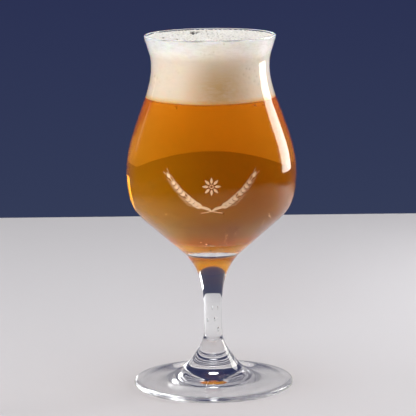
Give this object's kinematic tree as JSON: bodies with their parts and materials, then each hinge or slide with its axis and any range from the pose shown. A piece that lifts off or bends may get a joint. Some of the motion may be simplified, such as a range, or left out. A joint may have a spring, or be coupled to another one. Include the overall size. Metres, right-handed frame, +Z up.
{
  "type": "tulip beer glass",
  "caption": "Clear stemmed tulip glass with a flared lip, a round belly, a slim stem and a domed foot, filled with pale beer under a deep head of foam.",
  "frame": {"origin": "on the table under the middle of the foot", "axes": "+Z up along the axis of the glass; the glass is a turned form, and -Y is the side that the picture shows"},
  "size_m": [0.0894, 0.0894, 0.187],
  "materials": {
    "glass": "polished",
    "beer": "gloss",
    "beer_foam": "matte"
  },
  "bodies": {
    "root": {"foot": "glass", "stem": "glass", "bowl": "glass", "beer": "beer", "foam_head": "beer_foam"}
  },
  "joints": []
}
